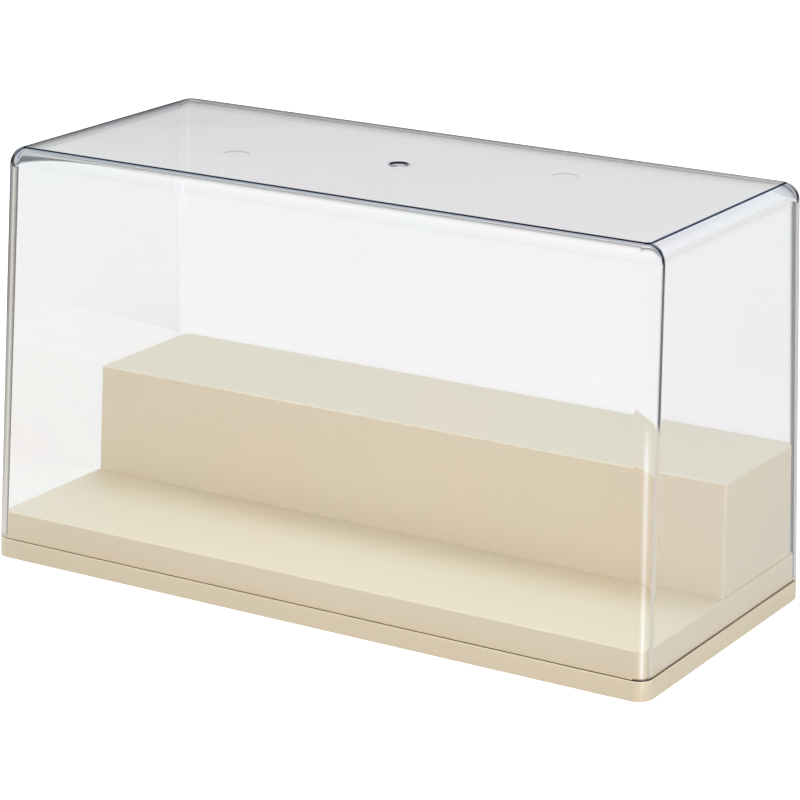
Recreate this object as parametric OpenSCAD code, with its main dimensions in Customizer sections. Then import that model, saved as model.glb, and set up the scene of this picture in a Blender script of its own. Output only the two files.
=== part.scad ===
// Display case for small figures: a clear lift-off cover, a base tray with a raised stage,
// and a step that stands on the rear half of the stage.
// Millimetres, +Z up, front towards -Y, origin at the middle of the underside.

/* [Overall] */
// Width of the base, the case's longest side
case_w = 260; // [200:1:320]
// Depth of the base
case_d = 120; // [100:1:160]
// Height from the underside of the base to the top of the cover
case_h = 148.3; // [120:0.1:200]

/* [Base] */
// Height of the ledge that the cover stands on
plinth_h = 6.8; // [5:0.1:12]
// Corner radius of the plinth seen from above
plinth_r = 5.6; // [4:0.1:12]
// Slope of the plinth's sides, in degrees
plinth_draft = 0.5; // [0.3:0.1:1.5]
// Rounding of the plinth's upper edge
plinth_edge_r = 0.3; // [0.2:0.1:0.6]
// Height of the stage above the ledge
stage_h = 9.8; // [7:0.1:16]
// Rounding of the stage's upper edge
stage_edge_r = 0.6; // [0.3:0.1:1.5]
// Thickness of the base moulding
base_wall = 2; // [1.6:0.1:2.6]
// Height of the ribs under the stage
under_rib_h = 6; // [3:0.5:8]
// Thickness of the ribs under the stage
under_rib_t = 1.4; // [1:0.1:2]
// Bays along the width between the ribs under the stage
under_bays = 4; // [2:1:8]
// Bays along the depth between the ribs under the stage
under_rows = 2; // [2:1:4]

/* [Grip ribs] */
// Grip ribs along each long side of the stage
grip_ribs = 5; // [3:1:7]
// Distance of the outermost grip ribs from the stage's ends
grip_end = 9.6; // [5:0.1:30]
// Radius of a grip rib
grip_r = 0.6; // [0.4:0.1:0.8]
// How far a grip rib stands out of the stage's side
grip_proud = 0.1; // [0.1:0.05:0.25]
// Distance from the stage's top to the upper end of a grip rib
grip_drop = 1.6; // [1:0.1:3]

/* [Cover] */
// How far the cover's rim is set in from the plinth's edge
cover_setback = 0.1; // [0.1:0.1:1.2]
// Thickness of the cover's sides
cover_wall = 1.9; // [1.4:0.1:2.4]
// Thickness of the cover's roof
roof_t = 2; // [1.4:0.1:2.6]
// Slope of the cover's sides, in degrees
cover_draft = 1.6; // [0.5:0.1:2]
// Corner radius at the cover's roof, seen from above
shoulder_r = 7.2; // [6.6:0.1:9]
// How much smaller the radius of the upright inside corners is than with an even wall
corner_sharpen = 0.2; // [0:0.1:1]
// Rounding of the roof's edges, outside
roof_edge_r = 6; // [4:0.1:6.6]
// Rounding of the roof's edges, inside
roof_inner_r = 4.9; // [2:0.1:5.2]
// Gap between the cover's inside and the stage, at each side
cover_clearance = 0.6; // [0.3:0.05:0.8]

/* [Moulding marks] */
// Diameter of the gate recess in the middle of the roof
gate_d = 6.8; // [4:0.1:10]
// Depth of the gate recess
gate_depth = 0.6; // [0.3:0.1:0.8]
// Diameter of the gate stub at the front edge of the recess
stub_d = 2.4; // [1:0.1:3]
// Diameter of the ejector marks inside the roof
ejector_d = 9; // [5:0.5:12]
// Depth of the ejector marks
ejector_depth = 0.2; // [0.1:0.05:0.3]
// Distance of the ejector marks from the middle, along the width
ejector_x = 55; // [30:1:70]
// Distance of the ejector marks from the middle, along the depth
ejector_y = 17; // [10:1:30]

/* [Riser] */
// Height of the riser above the stage
riser_h = 39.7; // [25:0.1:60]
// Distance of the riser's front behind the middle of the base
riser_front = 0; // [-15:0.5:15]
// Margin between the riser's foot and the stage's edge, at the sides and back
riser_margin = 0.6; // [0.5:0.1:2]
// Thickness of the riser moulding
riser_wall = 2; // [1.4:0.1:2.4]
// Slope of the riser's sides, in degrees
riser_draft = 1.4; // [1:0.1:2]
// Radius of the riser's front corners seen from above
riser_front_r = 0.9; // [0.8:0.1:3]
// Radius of the riser's rear corners, which clear the cover's inside corners
riser_rear_r = 4; // [2.5:0.1:6]
// Rounding of the riser's upper edges
riser_edge_r = 0.6; // [0.4:0.1:0.8]
// Height of the ribs under the riser's top
riser_rib_h = 9; // [4:0.5:12]
// Thickness of the ribs under the riser's top
riser_rib_t = 1.4; // [1:0.1:2]
// Bays between the ribs under the riser's top
riser_bays = 4; // [2:1:8]

/* [Locating lugs] */
// Height of the lugs on the stage that the riser fits over
lug_h = 4; // [2:0.5:6]
// Length of a lug
lug_l = 16; // [8:1:24]
// Distance from the riser's ends to the middle of the lugs along its front and back
lug_end = 30; // [20:1:60]
// Thickness of a lug
lug_t = 1.8; // [1.2:0.1:2.5]
// Gap between a lug and the riser's inside
lug_clearance = 0.4; // [0.3:0.05:0.6]

/* [Hidden] */

// Facets of a full circle
$fn = 32;
// Steps in a rounded edge
edge_steps = 8;
// Thickness of the slices that a loft is stretched over
slice = 0.02;
// Smallest radius that a rounded corner or edge shrinks to
tiny_r = 0.1;
// How far a cut reaches past the face that it opens
cut = 1;
// How far a rib is rooted in the wall that carries it
root = 0.5;

cream = [0.89, 0.86, 0.76];
clear = [0.90, 0.93, 0.96, 0.35];

cover_w = case_w - 2 * cover_setback;
cover_d = case_d - 2 * cover_setback;
cover_h = case_h - plinth_h;
rim_r = plinth_r - cover_setback;
rim_radii = [rim_r, rim_r];
shoulder_radii = [shoulder_r, shoulder_r];
plinth_radii = [plinth_r, plinth_r];

stage_w = cover_w - 2 * (cover_wall + cover_clearance);
stage_d = cover_d - 2 * (cover_wall + cover_clearance);
stage_radii = shrink(rim_radii, cover_wall + cover_clearance);
stage_z = plinth_h + stage_h;
stage_taper = stage_h * tan(cover_draft);
grip_pitch = (stage_w - 2 * grip_end) / (grip_ribs - 1);

riser_w = stage_w - 2 * (stage_taper + riser_margin);
riser_d = stage_d / 2 - stage_taper - riser_margin - riser_front;
riser_y = riser_front + riser_d / 2;
riser_radii = [riser_front_r, riser_rear_r];

// Corner radii after the outline has moved in, front pair and rear pair
function shrink(radii, inset) = [for (r = radii) max(r - inset, tiny_r)];

// Four discs at the corners of a rectangle centred on the origin, with radii for the front pair
// and the rear pair. Stretched over, they give a rectangle with round corners.
module corner_discs(w, d, radii) {
    for (x = [-1, 1], y = [0, 1]) {
        r = radii[y];
        translate([x * (w / 2 - r), (2 * y - 1) * (d / 2 - r), 0])
            cylinder(h = slice, r = r);
    }
}

// Block on z = 0 whose sides lean in by the draft. Its upright edges go from the foot radii to the
// top radii, and its upper edge is rounded by edge_r.
module moulded_block(w, d, h, draft, foot_radii, top_radii, edge_r) {
    lean = (h - edge_r) * tan(draft);
    steps = edge_r > tiny_r ? edge_steps : 1;
    hull() {
        corner_discs(w, d, foot_radii);
        for (step = [0 : steps]) {
            angle = 90 * step / steps;
            round_in = edge_r * (1 - cos(angle));
            inset = lean + round_in;
            translate([0, 0, h - edge_r * (1 - sin(angle)) - slice])
                corner_discs(w - 2 * inset, d - 2 * inset, shrink(top_radii, round_in));
        }
    }
}

// Space inside a moulded block whose side walls are wall thick and whose top is top_t thick.
// It opens downwards, and its own upper edge is rounded by edge_r.
module moulded_hollow(w, d, h, draft, foot_radii, top_radii, wall, top_t, edge_r = tiny_r) {
    flare = cut * tan(draft);
    translate([0, 0, -cut])
        moulded_block(
            w - 2 * (wall - flare),
            d - 2 * (wall - flare),
            h - top_t + cut,
            draft,
            shrink(foot_radii, wall),
            shrink(top_radii, wall),
            edge_r
        );
}

// Upright ribs that stiffen a plate of the given length from below, as wide as span
module cross_ribs(length, span, bays, t, h) {
    for (bay = [1 : bays - 1])
        translate([bay * length / bays - length / 2 - t / 2, -span / 2, 0])
            cube([t, span, h]);
}

// Slim ribs on both long sides of the stage, which centre the cover
module grip_rib_rows() {
    first = -(grip_ribs - 1) / 2;
    for (side = [0, 1], i = [0 : grip_ribs - 1])
        mirror([0, side, 0])
            translate([(first + i) * grip_pitch, -stage_d / 2, plinth_h])
                rotate([-cover_draft, 0, 0])
                    translate([0, grip_r - grip_proud, -root])
                        cylinder(h = stage_h - grip_drop + root, r = grip_r);
}

// Short lugs on the stage, just inside the riser's walls: two along its front, two along its back
// and one at each end
module locating_lugs() {
    half_w = riser_w / 2 - riser_wall - lug_clearance;
    half_d = riser_d / 2 - riser_wall - lug_clearance;
    translate([0, riser_y, stage_z - root])
        linear_extrude(lug_h + root)
            for (x = [-1, 1]) {
                for (y = [-1, 1])
                    translate([x * (half_w - lug_end), y * (half_d - lug_t / 2)])
                        square([lug_l, lug_t], center = true);
                translate([x * (half_w - lug_t / 2), 0])
                    square([lug_t, lug_l], center = true);
            }
}

// Open-bottomed tray: plinth with a ledge round it, raised stage, ribs below
module base() {
    span_w = stage_w - 2 * base_wall + root;
    span_d = stage_d - 2 * base_wall + root;
    ceiling = stage_z - base_wall;
    color(cream) {
        difference() {
            union() {
                moulded_block(
                    case_w, case_d, plinth_h, plinth_draft, plinth_radii, plinth_radii, plinth_edge_r
                );
                translate([0, 0, plinth_h - root])
                    moulded_block(
                        stage_w + 2 * root * tan(cover_draft),
                        stage_d + 2 * root * tan(cover_draft),
                        stage_h + root,
                        cover_draft,
                        stage_radii,
                        stage_radii,
                        stage_edge_r
                    );
                grip_rib_rows();
                locating_lugs();
            }
            moulded_hollow(
                case_w, case_d, plinth_h, plinth_draft, plinth_radii, plinth_radii,
                base_wall, base_wall
            );
            translate([0, 0, plinth_h - base_wall])
                moulded_hollow(
                    stage_w, stage_d, stage_h + base_wall, cover_draft,
                    stage_radii, stage_radii, base_wall, base_wall
                );
        }
        translate([0, 0, ceiling - under_rib_h]) {
            cross_ribs(span_w, span_d, under_bays, under_rib_t, under_rib_h + root);
            rotate([0, 0, 90])
                cross_ribs(span_d, span_w, under_rows, under_rib_t, under_rib_h + root);
        }
    }
}

// Five-sided step that stands on the rear half of the stage, over the lugs
module riser() {
    color(cream)
        translate([0, riser_y, stage_z]) {
            difference() {
                moulded_block(
                    riser_w, riser_d, riser_h, riser_draft, riser_radii, riser_radii, riser_edge_r
                );
                moulded_hollow(
                    riser_w, riser_d, riser_h, riser_draft, riser_radii, riser_radii,
                    riser_wall, riser_wall
                );
            }
            translate([0, 0, riser_h - riser_wall - riser_rib_h])
                cross_ribs(
                    riser_w, riser_d - 2 * riser_wall, riser_bays, riser_rib_t, riser_rib_h + root
                );
        }
}

// Clear five-sided cover that stands on the ledge and lifts straight off
module cover() {
    color(clear)
        translate([0, 0, plinth_h])
            difference() {
                moulded_block(
                    cover_w, cover_d, cover_h, cover_draft, rim_radii, shoulder_radii, roof_edge_r
                );
                moulded_hollow(
                    cover_w, cover_d, cover_h, cover_draft,
                    shrink(rim_radii, corner_sharpen), shrink(shoulder_radii, corner_sharpen),
                    cover_wall, roof_t, roof_inner_r
                );
                translate([0, 0, cover_h - gate_depth])
                    difference() {
                        cylinder(h = gate_depth + cut, d = gate_d);
                        translate([0, -gate_d / 2, 0])
                            cylinder(h = gate_depth, d1 = stub_d, d2 = stub_d / 2);
                    }
                for (side = [-1, 1])
                    translate([side * ejector_x, side * ejector_y, cover_h - roof_t - cut])
                        cylinder(h = ejector_depth + cut, d = ejector_d);
            }
}

base();
riser();
cover();
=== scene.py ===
"""Looks of the figure display case: clear cover, cream base and riser, in a plain pale studio.

Everything is in metres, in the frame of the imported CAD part.
"""

import math

import bmesh
import bpy
from mathutils import Matrix, Vector


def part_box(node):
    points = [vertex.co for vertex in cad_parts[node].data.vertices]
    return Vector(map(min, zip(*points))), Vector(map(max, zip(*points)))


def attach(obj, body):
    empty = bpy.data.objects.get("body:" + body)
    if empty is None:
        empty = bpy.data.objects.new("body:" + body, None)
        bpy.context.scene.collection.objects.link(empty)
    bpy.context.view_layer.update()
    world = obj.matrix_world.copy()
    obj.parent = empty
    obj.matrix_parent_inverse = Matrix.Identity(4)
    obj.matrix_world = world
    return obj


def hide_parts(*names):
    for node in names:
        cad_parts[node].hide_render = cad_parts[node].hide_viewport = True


MM = 0.001
WHITE = (1, 1, 1, 1)

# Moulding values of the cover, the same as in the part's source
COVER_DRAFT = math.radians(1.6)
COVER_WALL = 1.9 * MM
ROOF_THICKNESS = 2.0 * MM
RIM_RADIUS = 5.5 * MM
SHOULDER_RADIUS = 7.2 * MM
CORNER_SHARPEN = 0.2 * MM
ROOF_EDGE_RADIUS = 6.0 * MM
ROOF_INNER_RADIUS = 4.9 * MM
SMALLEST_RADIUS = 0.1 * MM
GATE_DIAMETER = 6.8 * MM
GATE_DEPTH = 0.6 * MM
STUB_DIAMETER = 2.4 * MM
EJECTOR_DIAMETER = 9.0 * MM
EJECTOR_DEPTH = 0.2 * MM
EJECTOR_PLACES = [(55 * MM, 17 * MM), (-55 * MM, -17 * MM)]

# Finer details of the scene alone: the rounding of the rim's edges, the raised lip round the gate
# recess, and the height of the drop of plastic there, which stands half out of the roof
RIM_EDGE_RADIUS = 0.5 * MM
GATE_LIP_HALF = 0.45 * MM
GATE_LIP_HEIGHT = 0.18 * MM
STUB_HEIGHT = 0.5 * MM

# How finely roundings are cut, and how faces are joined and shaded
CORNER_STEPS = 20
EDGE_STEPS = 24
RIM_STEPS = 4
LIP_STEPS = 12
MARK_STEPS = 64
SEAM_WELD = 0.0001 * MM
FACET_WELD = 0.001 * MM
SHARP_ANGLE = math.radians(25)

# Material slots of the cover: plain, and with painted shade at the rim, the corners and the roof's edge
PLAIN_SLOT = 0
RIM_PAINTED_SHADOW_SLOT = 1
CORNER_PAINTED_SHADE_SLOT = 2
EDGE_PAINTED_SHADE_SLOT = 3
# Upright corners with painted shade inside, counted anticlockwise from the back right one
PAINTED_SHADE_CORNERS = (0, 2)
# First and last of the outside's rings, counted from the top, in the painted dark strip along the roof's
# edge
PAINTED_EDGE_SHADE_FIRST = -5
PAINTED_EDGE_SHADE_LAST = -2
# Last of the rim's rings, counted from outside, up to which it has the painted shadow all round. Further
# in it
# has it only from this place in a ring: at the front right corner and along the right side.
PAINTED_RIM_SHADOW_LAST = 5
PAINTED_RIM_SHADOW_FROM = 3 * (CORNER_STEPS + 1)

# Camera, fitted to the straight edges of the case in the photograph
CAMERA_AZIMUTH = math.radians(30.70)
CAMERA_ELEVATION = math.radians(16.91)
CAMERA_ROLL = math.radians(0.87)
CAMERA_DISTANCE = 1155.35 * MM
CAMERA_AIM_RIGHT = 1.59 * MM
CAMERA_AIM_UP = 61.66 * MM
CAMERA_LENS_MM = 147.2
CAMERA_SENSOR_MM = 36.0

# Studio. Light that comes straight through the clear cover shows a white floor, and a backdrop that is
# dimmer from the horizon up; light that was reflected on the way shows the darker room round the table.
FLOOR_RADIUS = 1.3
FLOOR_STEPS = 96
FLOOR_COLOUR = (0.5, 0.5, 0.5, 1)
FLOOR_LIFT = 0.8
AMBIENT_COLOUR = (0.8, 0.8, 0.8, 1)
AMBIENT_STRENGTH = 0.22
# Light counts as reflected, and as guided inside the plastic, after more reflections than this
REFLECTED_AFTER = 0.5
GUIDED_AFTER = 3.5
# Colours of the floor in reflections, by the turn from -X round the front right corner:
# 0.25 is the front, 0.5 the right and 0.75 the back. The painted glint is a strip of floor that glows in
# reflections alone, near that corner.
FRONT_RIGHT_CORNER = (0.130, -0.060, 0.0)
FLOOR_REFLECTED = [
    (0.00, (0.70, 0.68, 0.62, 1)),
    (0.12, (0.64, 0.63, 0.61, 1)),
    (0.25, (0.60, 0.60, 0.60, 1)),
    (0.50, (0.50, 0.50, 0.51, 1)),
    (0.60, (0.66, 0.66, 0.66, 1)),
    (0.72, (0.66, 0.66, 0.66, 1)),
    (0.80, (0.60, 0.60, 0.60, 1)),
    (0.84, (0.20, 0.20, 0.21, 1)),
    (0.92, (0.20, 0.20, 0.21, 1)),
    (0.96, (0.38, 0.38, 0.37, 1)),
    (0.985, (0.70, 0.68, 0.62, 1)),
]
PAINTED_GLINT_REACH = 0.42
PAINTED_GLINT_FULL = 0.8 * PAINTED_GLINT_REACH
PAINTED_GLINT = [
    (0.31, (0.0, 0.0, 0.0, 1)),
    (0.355, (0.80, 1.00, 1.25, 1)),
    (0.40, (2.30, 2.80, 3.40, 1)),
    (0.445, (0.80, 1.00, 1.25, 1)),
    (0.49, (0.0, 0.0, 0.0, 1)),
]
# Colours of the backdrop by height: 0.5 is the horizon, 1 overhead
BACKDROP_STRAIGHT = [
    (0.450, (1.0, 1.0, 1.0, 1)),
    (0.470, (0.85, 0.85, 0.85, 1)),
    (0.495, (0.55, 0.55, 0.56, 1)),
    (0.512, (0.12, 0.12, 0.14, 1)),
    (0.535, (0.08, 0.08, 0.10, 1)),
    (0.545, (0.60, 0.60, 0.62, 1)),
    (0.700, (0.50, 0.55, 0.60, 1)),
]
BACKDROP_REFLECTED = [
    (0.500, (0.05, 0.05, 0.06, 1)),
    (0.590, (0.05, 0.05, 0.06, 1)),
    (0.597, (0.18, 0.18, 0.19, 1)),
    (0.603, (0.52, 0.52, 0.53, 1)),
    (0.610, (0.62, 0.62, 0.63, 1)),
    (0.650, (0.60, 0.60, 0.61, 1)),
    (0.700, (0.50, 0.60, 0.75, 1)),
    (0.725, (0.50, 0.60, 0.75, 1)),
    (0.750, (0.12, 0.15, 0.25, 1)),
    (0.785, (0.42, 0.47, 0.50, 1)),
    (0.830, (0.42, 0.47, 0.50, 1)),
    (0.865, (1.00, 1.00, 1.00, 1)),
]

# Lamps, in watts
SKY_WHITE = (0.80, 1.03, 1.17)
COOL_WHITE = (0.96, 0.98, 1.06)
WARM_WHITE = (1.07, 1.00, 0.93)
PEACH_WHITE = (1.19, 0.95, 0.79)
LAMPS = {
    "top": dict(place=(0.0, -0.45, 1.20), size=(1.0, 0.7), watts=6.0, colour=SKY_WHITE),
    "back": dict(place=(-0.25, 0.85, 1.05), size=(1.0, 0.7), watts=5.2, colour=COOL_WHITE),
    "left": dict(place=(-1.20, 0.0, 0.60), size=(0.7, 0.9), watts=9.0, colour=COOL_WHITE),
    "right": dict(place=(1.20, -0.10, 0.60), size=(0.7, 0.9), watts=9.2, colour=WARM_WHITE),
    "front": dict(place=(0.05, -0.60, 0.22), size=(0.7, 0.25), watts=1.5, colour=PEACH_WHITE),
}
LAMP_AIM = (0.0, 0.0, 0.05)

# Clear polystyrene, with a slight flow mottle in its tint and as wide, low waves in its surface
CLEAR_IOR = 1.59
CLEAR_FLOW_SCALE = 18.0
CLEAR_FLOW_DETAIL = 1.0
CLEAR_WAVE_STRENGTH = 1.0
CLEAR_WAVE_HEIGHT = 0.04 * MM
PLAIN_TINT = [(0.35, (0.997, 0.991, 0.997, 1)), (0.65, (0.990, 0.997, 0.997, 1))]
# Painted shade in the plastic's tint: a painted shadow line at the rim, and, by the slant at which they
# are looked at, painted dark bands along the roof's edge and in two upright corners, where the real
# plastic bends in the dark sides of the room
RIM_PAINTED_SHADOW = [(0.35, (0.22, 0.18, 0.16, 1)), (0.65, (0.19, 0.16, 0.14, 1))]
EDGE_PAINTED_SHADE = [(0.20, (0.85, 0.86, 0.88, 1)), (0.48, (0.07, 0.09, 0.14, 1))]
CORNER_PAINTED_SHADE = [
    (0.10, (1.0, 1.0, 1.0, 1)),
    (0.19, (0.75, 0.76, 0.77, 1)),
    (0.26, (0.22, 0.22, 0.22, 1)),
    (0.45, (0.14, 0.13, 0.13, 1)),
    (0.62, (0.50, 0.48, 0.47, 1)),
]
# Painted light and shade, as emission, for light that goes on being reflected inside the plastic, by the
# share of the cover's height
PAINTED_GUIDED_GLOW = [
    (0.575, (0.72, 0.65, 0.51, 1)),
    (0.60, (0.14, 0.13, 0.15, 1)),
    (0.90, (0.14, 0.13, 0.15, 1)),
    (0.96, (0.015, 0.02, 0.04, 1)),
]

# Cream plastic, with a faint flow mottle in its tone and gloss, and a fine moulded skin
CREAM_IOR = 1.5
CREAM_FLOW_SCALE = 14.0
CREAM_FLOW_DETAIL = 3.0
CREAM = [(0.3, (0.725, 0.655, 0.50, 1)), (0.7, (0.745, 0.675, 0.52, 1))]
CREAM_ROUGHNESS = (0.10, 0.14)
SKIN_SCALE = 900.0
SKIN_DETAIL = 2.0
SKIN_STRENGTH = 0.04
SKIN_HEIGHT = 0.1 * MM
# Painted shade, as ambient occlusion in the colour: what is left of its tone on level faces, by how open
# they are to the light from above
PAINTED_SHADE_REACH = 28 * MM
PAINTED_SHADE_SAMPLES = 4
PAINTED_SHELTER_SHADE = [
    (0.50, (0.73, 0.64, 0.54, 1)),
    (0.70, (0.81, 0.72, 0.62, 1)),
    (0.82, (0.94, 0.90, 0.84, 1)),
    (0.91, (1.0, 1.0, 1.0, 1)),
]


def rounded_ring(bm, width, depth, radius, z):
    """Vertices round a rectangle with round corners, centred on the Z axis, anticlockwise."""
    verts = []
    for corner in range(4):
        start = corner * math.pi / 2
        x_side = (1, -1, -1, 1)[corner]
        y_side = (1, 1, -1, -1)[corner]
        centre_x = x_side * (width / 2 - radius)
        centre_y = y_side * (depth / 2 - radius)
        for step in range(CORNER_STEPS + 1):
            angle = start + math.pi / 2 * step / CORNER_STEPS
            x = centre_x + radius * math.cos(angle)
            y = centre_y + radius * math.sin(angle)
            verts.append(bm.verts.new((x, y, z)))
    return verts


def circle_ring(bm, place, diameter, z):
    """Vertices round a circle on the plane at height z, anticlockwise."""
    verts = []
    for step in range(MARK_STEPS):
        angle = 2 * math.pi * step / MARK_STEPS
        x = place[0] + diameter / 2 * math.cos(angle)
        y = place[1] + diameter / 2 * math.sin(angle)
        verts.append(bm.verts.new((x, y, z)))
    return verts


def loft(bm, rings, slot=PLAIN_SLOT):
    """Quads between each ring and the next, in the given material slot."""
    faces = []
    for lower, upper in zip(rings, rings[1:]):
        for i in range(len(lower)):
            j = (i + 1) % len(lower)
            face = bm.faces.new((lower[i], lower[j], upper[j], upper[i]))
            face.material_index = slot
            faces.append(face)
    return faces


def fill_flat(bm, outline, holes):
    """Flat faces inside the outline, with the holes left open."""
    edges = []
    for ring in [outline, *holes]:
        for i, vert in enumerate(ring):
            follower = ring[(i + 1) % len(ring)]
            edges.append(bm.edges.get((vert, follower)) or bm.edges.new((vert, follower)))
    bmesh.ops.triangle_fill(bm, use_beauty=True, edges=edges, normal=(0, 0, 1))


def hood_rings(bm, width, depth, foot_z, top_z, foot_radius, top_radius, edge_radius):
    """Rings of a drafted hood, from the foot up its sides and round the upper edge to the flat top."""
    arc_z = top_z - edge_radius
    lean = (arc_z - foot_z) * math.tan(COVER_DRAFT)
    rings = [rounded_ring(bm, width, depth, foot_radius, foot_z)]
    for step in range(EDGE_STEPS + 1):
        angle = COVER_DRAFT + (math.pi / 2 - COVER_DRAFT) * step / EDGE_STEPS
        round_in = edge_radius * (1 - math.cos(angle))
        inset = 2 * (lean + round_in)
        radius = max(top_radius - round_in, SMALLEST_RADIUS)
        z = arc_z + edge_radius * math.sin(angle)
        rings.append(rounded_ring(bm, width - inset, depth - inset, radius, z))
    return rings


def rim_rings(bm, width, depth, foot_z):
    """Rings under the rim between its outer and its inner edge, both slightly rounded."""
    outer_turns = [(1, step) for step in range(1, RIM_STEPS + 1)]
    inner_turns = [(-1, RIM_STEPS - step) for step in range(1, RIM_STEPS)]
    rings = []
    for side, turn in outer_turns + inner_turns:
        angle = math.pi / 2 * turn / RIM_STEPS
        edge_in = RIM_EDGE_RADIUS * (1 - math.cos(angle))
        inset = edge_in if side > 0 else COVER_WALL - edge_in
        z = foot_z - RIM_EDGE_RADIUS * math.sin(angle)
        rings.append(rounded_ring(bm, width - 2 * inset, depth - 2 * inset, RIM_RADIUS - inset, z))
    return rings


def skin_hood(bm, outer, inner):
    """Faces of the hood's outside and inside, with painted shade along the roof edge and in two corners.
    """
    loft(bm, outer[: PAINTED_EDGE_SHADE_FIRST + 1])
    loft(bm, outer[PAINTED_EDGE_SHADE_FIRST : PAINTED_EDGE_SHADE_LAST + 1], EDGE_PAINTED_SHADE_SLOT)
    loft(bm, outer[PAINTED_EDGE_SHADE_LAST:])
    inner_sides = loft(bm, inner)[: len(inner[0])]
    for i, face in enumerate(inner_sides):
        corner, step = divmod(i, CORNER_STEPS + 1)
        if corner in PAINTED_SHADE_CORNERS and step < CORNER_STEPS:
            face.material_index = CORNER_PAINTED_SHADE_SLOT


def skin_rim(bm, rings):
    """Faces under the rim: a painted shadow outside and below, and right across on the right."""
    loft(bm, rings[: PAINTED_RIM_SHADOW_LAST + 1], RIM_PAINTED_SHADOW_SLOT)
    for i, face in enumerate(loft(bm, rings[PAINTED_RIM_SHADOW_LAST:])):
        if i % len(rings[0]) >= PAINTED_RIM_SHADOW_FROM:
            face.material_index = RIM_PAINTED_SHADOW_SLOT


def skin_roof(bm, outline, roof_z):
    """Faces of the roof, with the gate recess and the raised lip round it."""
    rings = []
    for step in range(LIP_STEPS + 1):
        angle = math.pi * step / LIP_STEPS
        diameter = GATE_DIAMETER + 2 * GATE_LIP_HALF * math.cos(angle)
        rings.append(circle_ring(bm, (0, 0), diameter, roof_z + GATE_LIP_HEIGHT * math.sin(angle)))
    floor_diameter = GATE_DIAMETER - 2 * GATE_LIP_HALF
    rings.append(circle_ring(bm, (0, 0), floor_diameter, roof_z - GATE_DEPTH))
    fill_flat(bm, outline, [rings[0]])
    loft(bm, rings)
    bm.faces.new(rings[-1])


def skin_ceiling(bm, outline, ceiling_z):
    """Faces of the roof's inside, with the ejector marks."""
    mark_edges = []
    for place in EJECTOR_PLACES:
        mark_edge = circle_ring(bm, place, EJECTOR_DIAMETER, ceiling_z)
        mark_floor = circle_ring(bm, place, EJECTOR_DIAMETER, ceiling_z + EJECTOR_DEPTH)
        loft(bm, [mark_edge, mark_floor])
        bm.faces.new(mark_floor)
        mark_edges.append(mark_edge)
    fill_flat(bm, outline, mark_edges)


def make_cover():
    """The clear hood, with the gate recess in its roof and the ejector marks inside."""
    low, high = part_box("cover")
    width = high.x - low.x
    depth = high.y - low.y
    foot_z = low.z + RIM_EDGE_RADIUS
    ceiling_z = high.z - ROOF_THICKNESS
    bm = bmesh.new()
    outer = hood_rings(bm, width, depth, foot_z, high.z, RIM_RADIUS, SHOULDER_RADIUS, ROOF_EDGE_RADIUS)
    inner = hood_rings(
        bm,
        width - 2 * COVER_WALL,
        depth - 2 * COVER_WALL,
        foot_z,
        ceiling_z,
        RIM_RADIUS - CORNER_SHARPEN - COVER_WALL,
        SHOULDER_RADIUS - CORNER_SHARPEN - COVER_WALL,
        ROOF_INNER_RADIUS,
    )
    skin_hood(bm, outer, inner)
    skin_rim(bm, [outer[0], *rim_rings(bm, width, depth, foot_z), inner[0]])
    skin_roof(bm, outer[-1], high.z)
    skin_ceiling(bm, inner[-1], ceiling_z)
    bmesh.ops.remove_doubles(bm, verts=bm.verts[:], dist=SEAM_WELD)
    bmesh.ops.recalc_face_normals(bm, faces=bm.faces[:])
    return smooth_object(bm, "clear_cover")


def make_stub():
    """The drop of plastic left by the gate, at the front edge of its recess."""
    roof_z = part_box("cover")[1].z
    bm = bmesh.new()
    rows = MARK_STEPS // 2
    bmesh.ops.create_uvsphere(bm, u_segments=MARK_STEPS, v_segments=rows, radius=STUB_DIAMETER / 2)
    bmesh.ops.scale(bm, verts=bm.verts[:], vec=(1, 1, STUB_HEIGHT / STUB_DIAMETER))
    bmesh.ops.translate(bm, verts=bm.verts[:], vec=(0, -GATE_DIAMETER / 2, roof_z))
    return smooth_object(bm, "gate_stub")


def new_object(bm, name):
    """An object in the scene with the mesh that was built."""
    mesh = bpy.data.meshes.new(name)
    bm.to_mesh(mesh)
    bm.free()
    obj = bpy.data.objects.new(name, mesh)
    bpy.context.scene.collection.objects.link(obj)
    return obj


def smooth_object(bm, name):
    """The same, smooth, with flat faces kept flat and edges over the sharp angle crisp."""
    obj = new_object(bm, name)
    for polygon in obj.data.polygons:
        polygon.use_smooth = True
    obj.data.set_sharp_from_angle(angle=SHARP_ANGLE)
    weighted = obj.modifiers.new("even_normals", "WEIGHTED_NORMAL")
    weighted.keep_sharp = True
    return obj


def smooth_moulding(obj):
    """Smooth shading of a CAD node by modifiers alone: facets are joined, then split at sharp edges."""
    weld = obj.modifiers.new("joined_facets", "WELD")
    weld.merge_threshold = FACET_WELD
    split = obj.modifiers.new("sharp_edges", "EDGE_SPLIT")
    split.split_angle = SHARP_ANGLE
    split.use_edge_sharp = False
    obj.modifiers.new("even_normals", "WEIGHTED_NORMAL")


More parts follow.
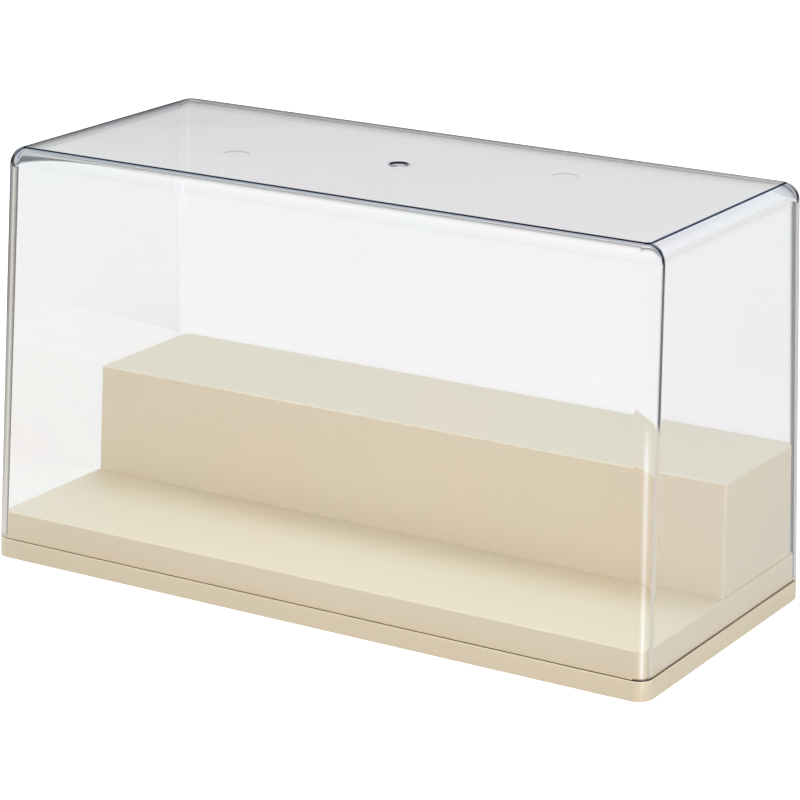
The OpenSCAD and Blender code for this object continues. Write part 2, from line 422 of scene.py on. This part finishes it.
class Nodes:
    """A node tree, with short calls to add and link its nodes."""

    # Places of a Mix node's colour sockets, which share their names with those for other values
    MIX_FIRST = 6
    MIX_SECOND = 7
    MIX_RESULT = 2

    def __init__(self, tree):
        self.tree = tree
        tree.nodes.clear()

    def add(self, kind, **inputs):
        node = self.tree.nodes.new(kind)
        for name, value in inputs.items():
            node.inputs[name.replace("_", " ")].default_value = value
        return node

    def link(self, source, target):
        self.tree.links.new(source, target)

    def math(self, operation, *values):
        """Output of a Math node; each value is a number or another node's output."""
        node = self.add("ShaderNodeMath")
        node.operation = operation
        for socket, value in zip(node.inputs, values):
            if isinstance(value, (int, float)):
                socket.default_value = value
            else:
                self.link(value, socket)
        return node.outputs[0]

    def z_of(self, vector):
        """Z output of the given vector."""
        node = self.add("ShaderNodeSeparateXYZ")
        self.link(vector, node.inputs[0])
        return node.outputs["Z"]

    def noise(self, place, scale, detail):
        """Value output of a noise over the object's own coordinates."""
        node = self.add("ShaderNodeTexNoise", Scale=scale, Detail=detail)
        self.link(place.outputs["Object"], node.inputs["Vector"])
        return node.outputs["Fac"]

    def bump(self, height, strength, distance):
        """Normal output of a bump by the given height."""
        node = self.add("ShaderNodeBump", Strength=strength, Distance=distance)
        self.link(height, node.inputs["Height"])
        return node.outputs["Normal"]

    def ramp(self, value, stops):
        """Colour output of a ramp with the given (position, colour) stops."""
        node = self.add("ShaderNodeValToRGB")
        elements = node.color_ramp.elements
        while len(elements) < len(stops):
            elements.new(1.0)
        for element, (position, colour) in zip(elements, stops):
            element.position = position
            element.color = colour
        self.link(value, node.inputs["Fac"])
        return node.outputs["Color"]

    def multiply(self, share, first, second):
        """Colour output of the first colour, multiplied by the second with the share."""
        node = self.add("ShaderNodeMix")
        node.data_type = "RGBA"
        node.blend_type = "MULTIPLY"
        self.link(share, node.inputs["Factor"])
        self.link(first, node.inputs[self.MIX_FIRST])
        self.link(second, node.inputs[self.MIX_SECOND])
        return node.outputs[self.MIX_RESULT]

    def coloured(self, kind, colour):
        """Output of a shader of the given kind that takes its colour from another node."""
        node = self.add(kind)
        self.link(colour, node.inputs["Color"])
        return node.outputs[0]

    def mix(self, share, first, second):
        """Shader output that goes from the first to the second shader with the share."""
        node = self.add("ShaderNodeMixShader")
        for socket, source in zip(node.inputs, (share, first, second)):
            self.link(source, socket)
        return node.outputs[0]

    def both(self, first, second):
        """Shader output of both shaders together."""
        node = self.add("ShaderNodeAddShader")
        for socket, source in zip(node.inputs, (first, second)):
            self.link(source, socket)
        return node.outputs[0]

    def was_reflected(self, path):
        """1 for light that was reflected on its way, else 0."""
        return self.math("GREATER_THAN", path.outputs["Glossy Depth"], REFLECTED_AFTER)

    def from_plastic(self, path):
        """1 for light that a clear or glossy surface bent or reflected last, else 0."""
        return self.math("MAXIMUM", path.outputs["Is Glossy Ray"], path.outputs["Is Transmission Ray"])

    def surface(self, shader, kind="ShaderNodeOutputMaterial"):
        """The tree's output node, with the given shader."""
        self.link(shader, self.add(kind).inputs["Surface"])


def new_material(name):
    material = bpy.data.materials.new(name)
    material.use_nodes = True
    return material, Nodes(material.node_tree)


def clear_plastic(name, shade=None, from_air=False):
    """Clear polystyrene, with a painted glow for light caught inside it and any painted shade given.
    Diffuse light passes it unbent, so that the base is lit through it.
    """
    material, nodes = new_material(name)
    place = nodes.add("ShaderNodeTexCoord")
    path = nodes.add("ShaderNodeLightPath")
    flow = nodes.noise(place, CLEAR_FLOW_SCALE, CLEAR_FLOW_DETAIL)
    tint = nodes.ramp(flow, PLAIN_TINT)
    # Painted shade, where one is given, darkens the tint
    if shade:
        tint = with_painted_shade(nodes, path, flow, tint, shade, from_air)
    wave = nodes.bump(flow, CLEAR_WAVE_STRENGTH, CLEAR_WAVE_HEIGHT)
    glass = nodes.add("ShaderNodeBsdfGlass", IOR=CLEAR_IOR, Roughness=0.0)
    nodes.link(tint, glass.inputs["Color"])
    nodes.link(wave, glass.inputs["Normal"])
    # Painted light: after many reflections inside the plastic, the glass gives way to the painted glow
    guided = nodes.math("GREATER_THAN", path.outputs["Glossy Depth"], GUIDED_AFTER)
    plastic = nodes.mix(guided, glass.outputs[0], painted_guided_glow(nodes, place))
    unbent = nodes.add("ShaderNodeBsdfTransparent", Color=WHITE)
    nodes.surface(nodes.mix(path.outputs["Is Diffuse Ray"], plastic, unbent.outputs[0]))
    material.cycles.emission_sampling = "NONE"
    return material


def with_painted_shade(nodes, path, flow, tint, shade, from_air):
    """The tint times the painted shade, for light that wasn't reflected yet.

    A painted shade from the air goes by the slant at which it is looked at, and isn't met inside the
    plastic.
    """
    share = nodes.math("LESS_THAN", path.outputs["Glossy Depth"], REFLECTED_AFTER)
    if not from_air:
        return nodes.multiply(share, tint, nodes.ramp(flow, shade))
    shape = nodes.add("ShaderNodeNewGeometry")
    in_air = nodes.math("SUBTRACT", 1.0, shape.outputs["Backfacing"])
    slant = nodes.add("ShaderNodeLayerWeight")
    tones = nodes.ramp(slant.outputs["Facing"], shade)
    return nodes.multiply(nodes.math("MULTIPLY", share, in_air), tint, tones)


def painted_guided_glow(nodes, place):
    """A painted glow, as emission, for light that goes on being reflected inside the plastic, by the
    height on the cover.
    """
    height = nodes.z_of(place.outputs["Object"])
    share = nodes.math("DIVIDE", height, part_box("cover")[1].z)
    return nodes.coloured("ShaderNodeEmission", nodes.ramp(share, PAINTED_GUIDED_GLOW))


def cream_plastic():
    """Softly glossy cream plastic with a faint flow mottle, a fine moulded skin and painted shade beside
    steps.
    """
    material, nodes = new_material("cream_plastic_moulded")
    place = nodes.add("ShaderNodeTexCoord")
    flow = nodes.noise(place, CREAM_FLOW_SCALE, CREAM_FLOW_DETAIL)
    skin = nodes.noise(place, SKIN_SCALE, SKIN_DETAIL)
    smoothest, roughest = CREAM_ROUGHNESS
    gloss = nodes.add("ShaderNodeMapRange", To_Min=smoothest, To_Max=roughest)
    nodes.link(flow, gloss.inputs["Value"])
    shader = nodes.add("ShaderNodeBsdfPrincipled", IOR=CREAM_IOR)
    nodes.link(with_painted_shelter_shade(nodes, nodes.ramp(flow, CREAM)), shader.inputs["Base Color"])
    nodes.link(gloss.outputs["Result"], shader.inputs["Roughness"])
    nodes.link(nodes.bump(skin, SKIN_STRENGTH, SKIN_HEIGHT), shader.inputs["Normal"])
    nodes.surface(shader.outputs[0])
    return material


def with_painted_shelter_shade(nodes, tones):
    """The tones with painted shade on level faces beside a step, which keeps the light from above off
    them.
    """
    occlusion = nodes.add("ShaderNodeAmbientOcclusion", Distance=PAINTED_SHADE_REACH)
    occlusion.samples = PAINTED_SHADE_SAMPLES
    shape = nodes.add("ShaderNodeNewGeometry")
    level = nodes.z_of(shape.outputs["Normal"])
    return nodes.multiply(level, tones, nodes.ramp(occlusion.outputs["AO"], PAINTED_SHELTER_SHADE))


def reflected_floor(nodes):
    """What reflections show of the floor: the room's colours all round, and a painted glint, a strip that
    glows, near the case.
    """
    place = nodes.add("ShaderNodeTexCoord")
    offset = nodes.add("ShaderNodeVectorMath")
    offset.operation = "SUBTRACT"
    offset.inputs[1].default_value = FRONT_RIGHT_CORNER
    nodes.link(place.outputs["Object"], offset.inputs[0])
    turn = nodes.add("ShaderNodeTexGradient")
    turn.gradient_type = "RADIAL"
    nodes.link(offset.outputs[0], turn.inputs["Vector"])
    room = nodes.coloured("ShaderNodeEmission", nodes.ramp(turn.outputs["Fac"], FLOOR_REFLECTED))
    reach = nodes.add("ShaderNodeVectorMath")
    reach.operation = "LENGTH"
    nodes.link(offset.outputs[0], reach.inputs[0])
    fade = nodes.add("ShaderNodeMapRange", From_Min=PAINTED_GLINT_REACH, From_Max=PAINTED_GLINT_FULL)
    nodes.link(reach.outputs["Value"], fade.inputs["Value"])
    glint_glow = nodes.add("ShaderNodeEmission")
    nodes.link(nodes.ramp(turn.outputs["Fac"], PAINTED_GLINT), glint_glow.inputs["Color"])
    nodes.link(fade.outputs["Result"], glint_glow.inputs["Strength"])
    return nodes.both(room, glint_glow.outputs[0])


def pale_floor():
    """Pale floor that keeps the shadow; white through clear plastic, and dimmer in reflections."""
    material, nodes = new_material("pale_floor")
    path = nodes.add("ShaderNodeLightPath")
    paper = nodes.add("ShaderNodeBsdfDiffuse", Color=FLOOR_COLOUR).outputs[0]
    lift = nodes.add("ShaderNodeEmission", Strength=FLOOR_LIFT).outputs[0]
    white = nodes.add("ShaderNodeEmission", Color=WHITE).outputs[0]
    bare = nodes.mix(path.outputs["Is Camera Ray"], paper, nodes.both(paper, lift))
    in_plastic = nodes.mix(nodes.was_reflected(path), white, reflected_floor(nodes))
    nodes.surface(nodes.mix(nodes.from_plastic(path), bare, in_plastic))
    return material


def make_floor():
    """A wide round floor. It casts no shadow, so it doesn't count as a step in the cream's painted shade.
    """
    bm = bmesh.new()
    bmesh.ops.create_circle(bm, cap_ends=True, radius=FLOOR_RADIUS, segments=FLOOR_STEPS)
    floor = new_object(bm, "floor")
    floor.data.materials.append(pale_floor())
    floor.visible_shadow = False


def make_world():
    """Soft ambient light, with a backdrop that is white to the camera and a room to the plastic."""
    world = bpy.data.worlds.new("studio")
    bpy.context.scene.world = world
    world.use_nodes = True
    nodes = Nodes(world.node_tree)
    place = nodes.add("ShaderNodeTexCoord")
    path = nodes.add("ShaderNodeLightPath")
    height = nodes.math("MULTIPLY_ADD", nodes.z_of(place.outputs["Generated"]), 0.5, 0.5)
    ambient = nodes.add("ShaderNodeBackground", Color=AMBIENT_COLOUR, Strength=AMBIENT_STRENGTH)
    white = nodes.add("ShaderNodeBackground", Color=WHITE)
    straight = nodes.coloured("ShaderNodeBackground", nodes.ramp(height, BACKDROP_STRAIGHT))
    reflected = nodes.coloured("ShaderNodeBackground", nodes.ramp(height, BACKDROP_REFLECTED))
    room = nodes.mix(nodes.was_reflected(path), straight, reflected)
    around = nodes.mix(nodes.from_plastic(path), ambient.outputs[0], room)
    backdrop = nodes.mix(path.outputs["Is Camera Ray"], around, white.outputs[0])
    nodes.surface(backdrop, "ShaderNodeOutputWorld")


def leave_unlit(objects):
    """A collection that keeps the lamps' reflections off the given objects."""
    unlit = bpy.data.collections.new("unlit")
    for obj in objects:
        unlit.objects.link(obj)
    for member in unlit.collection_objects:
        member.light_linking.link_state = "EXCLUDE"
    return unlit


def make_lamp(unlit, name, place, size, watts, colour):
    """An area lamp that is turned to the case and leaves the unlit objects out."""
    lamp = bpy.data.lights.new(name, "AREA")
    lamp.shape = "RECTANGLE"
    lamp.size, lamp.size_y = size
    lamp.energy = watts
    lamp.color = colour
    obj = bpy.data.objects.new(name, lamp)
    obj.location = place
    obj.rotation_euler = (Vector(LAMP_AIM) - Vector(place)).to_track_quat("-Z", "Y").to_euler()
    obj.light_linking.receiver_collection = unlit
    bpy.context.scene.collection.objects.link(obj)


def make_camera():
    """The photograph's viewpoint: turned round the origin, raised, rolled and shifted sideways and up."""
    back = Vector(
        (
            math.sin(CAMERA_AZIMUTH) * math.cos(CAMERA_ELEVATION),
            -math.cos(CAMERA_AZIMUTH) * math.cos(CAMERA_ELEVATION),
            math.sin(CAMERA_ELEVATION),
        )
    )
    right = Vector((math.cos(CAMERA_AZIMUTH), math.sin(CAMERA_AZIMUTH), 0))
    up = back.cross(right)
    place = back * CAMERA_DISTANCE + right * CAMERA_AIM_RIGHT + up * CAMERA_AIM_UP
    turn = Matrix((right, up, back)).transposed() @ Matrix.Rotation(CAMERA_ROLL, 3, "Z")
    camera = bpy.data.cameras.new("camera")
    camera.lens = CAMERA_LENS_MM
    camera.sensor_width = CAMERA_SENSOR_MM
    obj = bpy.data.objects.new("camera", camera)
    obj.matrix_world = Matrix.Translation(place) @ turn.to_4x4()
    bpy.context.scene.collection.objects.link(obj)
    bpy.context.scene.camera = obj


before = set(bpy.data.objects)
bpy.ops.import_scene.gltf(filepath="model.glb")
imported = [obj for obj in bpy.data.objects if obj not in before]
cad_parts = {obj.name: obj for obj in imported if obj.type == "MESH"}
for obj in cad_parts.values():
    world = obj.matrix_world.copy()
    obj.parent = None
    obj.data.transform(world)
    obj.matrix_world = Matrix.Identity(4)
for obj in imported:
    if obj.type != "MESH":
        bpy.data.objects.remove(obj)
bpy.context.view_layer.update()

clear = clear_plastic("clear_plastic_moulded")
cover = make_cover()
stub = make_stub()
for piece in (cover, stub):
    piece.data.materials.append(clear)
    # Lamps shine through the clear pieces, which don't count in the cream's painted shade either
    piece.visible_shadow = False
    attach(piece, "cover")
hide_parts("cover")
# The cover's other materials, with painted shadow and shade, in the order of their slots
cover.data.materials.append(clear_plastic("clear_plastic_rim_painted_shadow", RIM_PAINTED_SHADOW))
cover.data.materials.append(clear_plastic("clear_plastic_corner_painted_shade", CORNER_PAINTED_SHADE, from_air=True))
cover.data.materials.append(clear_plastic("clear_plastic_edge_painted_shade", EDGE_PAINTED_SHADE, from_air=True))

cream = cream_plastic()
for node in ("base", "riser"):
    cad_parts[node].data.materials[0] = cream
    smooth_moulding(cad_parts[node])

make_floor()
make_world()
unlit_pieces = leave_unlit([cover, stub])
for lamp_name, values in LAMPS.items():
    make_lamp(unlit_pieces, lamp_name, **values)
make_camera()
bpy.context.scene.view_settings.view_transform = "Standard"
